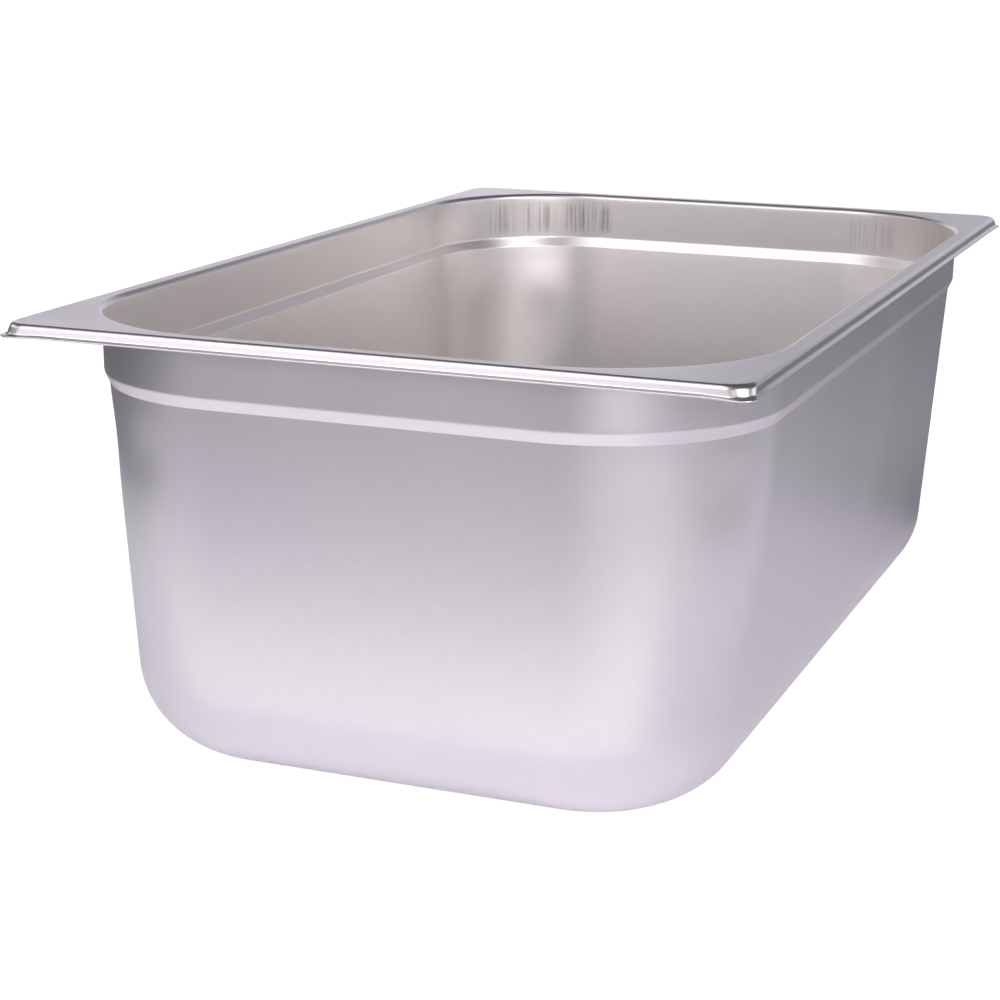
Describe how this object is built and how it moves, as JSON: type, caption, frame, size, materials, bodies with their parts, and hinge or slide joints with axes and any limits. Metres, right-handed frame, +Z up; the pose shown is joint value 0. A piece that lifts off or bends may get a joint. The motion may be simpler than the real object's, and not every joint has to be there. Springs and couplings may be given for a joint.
{
  "type": "gastronorm food pan",
  "caption": "Deep full-size steel food pan: flat flange with a turned-down edge, stacking band with shoulder, tapered tub with rounded corners.",
  "frame": {"origin": "centre of the underside of the base, on the surface that the pan stands on", "axes": "+X across the short side, +Y along the long side, +Z up towards the rim"},
  "size_m": [0.325, 0.53, 0.2],
  "materials": {
    "steel": "satin stainless steel, faintly textured, brighter on the rim's bends, with faint vertical draw marks"
  },
  "bodies": {
    "root": {"pan": "steel"}
  },
  "joints": []
}
